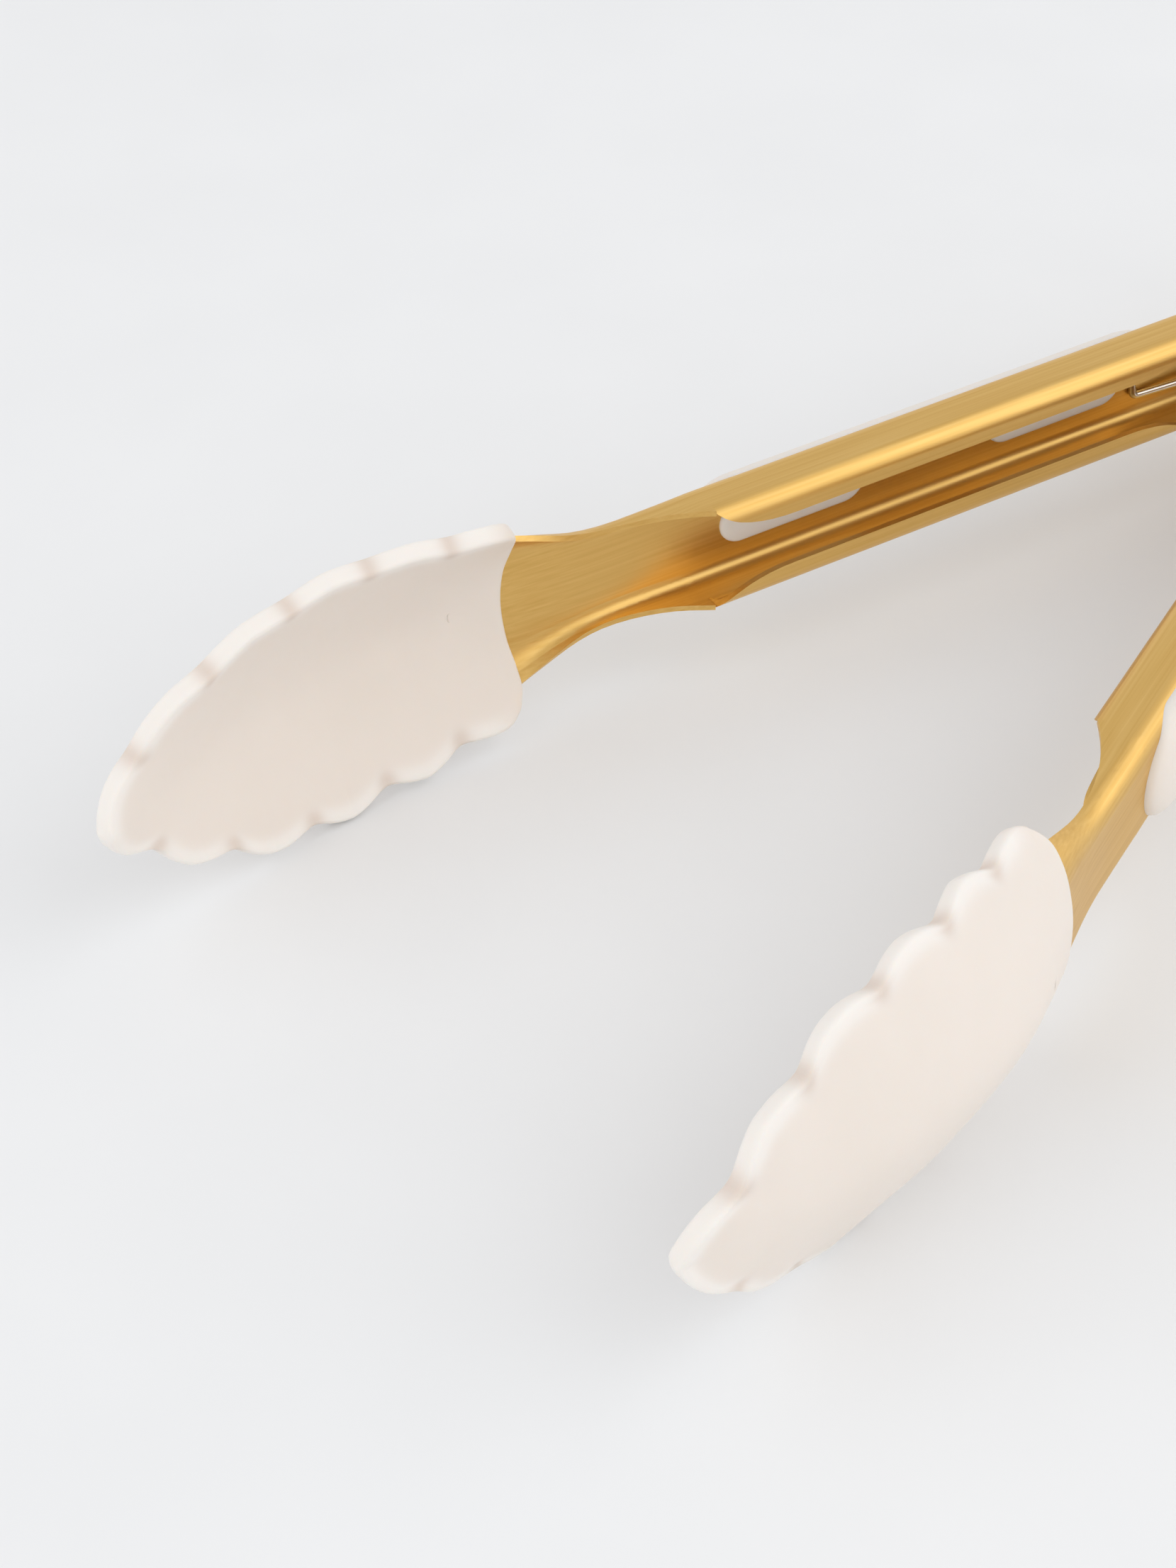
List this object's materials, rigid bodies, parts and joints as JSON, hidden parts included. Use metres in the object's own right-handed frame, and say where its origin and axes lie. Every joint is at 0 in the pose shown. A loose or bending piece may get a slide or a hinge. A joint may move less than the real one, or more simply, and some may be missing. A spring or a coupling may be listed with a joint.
{
  "type": "tongs",
  "caption": "Gold metal serving tongs with sprung channel arms on a rivet, a pull lock, silicone grips and scalloped silicone heads.",
  "frame": {"origin": "centre of the bounding box's underside, with the open tongs lying on their side", "axes": "+Z along the pivot rivet, +X from the heads towards the hanging tab, +Y from the inner arm to the outer arm"},
  "size_m": [0.2362, 0.106, 0.0382],
  "materials": {
    "gold_metal": "brushed stainless steel with a gold coating",
    "silicone": "matte cream silicone",
    "spring_wire": "bright drawn spring wire"
  },
  "bodies": {
    "pivot": {"pivot_rivet": "gold_metal", "spring_coil": "spring_wire"},
    "arm_a": {"arm_outer": "gold_metal", "head_cover_outer": "silicone", "grip_outer": "silicone", "spring_leg_outer": "spring_wire"},
    "arm_b": {"arm_inner": "gold_metal", "head_cover_inner": "silicone", "grip_inner": "silicone", "spring_leg_inner": "spring_wire"},
    "lock": {"lock_slide": "gold_metal"}
  },
  "joints": [
    {"name": "outer_arm_close", "type": "hinge", "parent": "pivot", "child": "arm_a", "pos_m": [0.08259, 0, 0.0191], "axis": [0, 0, 1], "range_deg": [0, 12.5], "stiffness_Nm_per_rad": 0.3, "springref_deg": -22.92},
    {"name": "inner_arm_close", "type": "hinge", "parent": "pivot", "child": "arm_b", "pos_m": [0.08259, 0, 0.0191], "axis": [0, 0, 1], "range_deg": [-12.5, 0], "stiffness_Nm_per_rad": 0.3, "springref_deg": 22.92},
    {"name": "lock_pull", "type": "slide", "parent": "pivot", "child": "lock", "axis": [1, 0, 0], "range_m": [0, 0.0056]}
  ],
  "couplings": [
    {"joint": "inner_arm_close", "follows": "outer_arm_close", "ratio": -1}
  ]
}
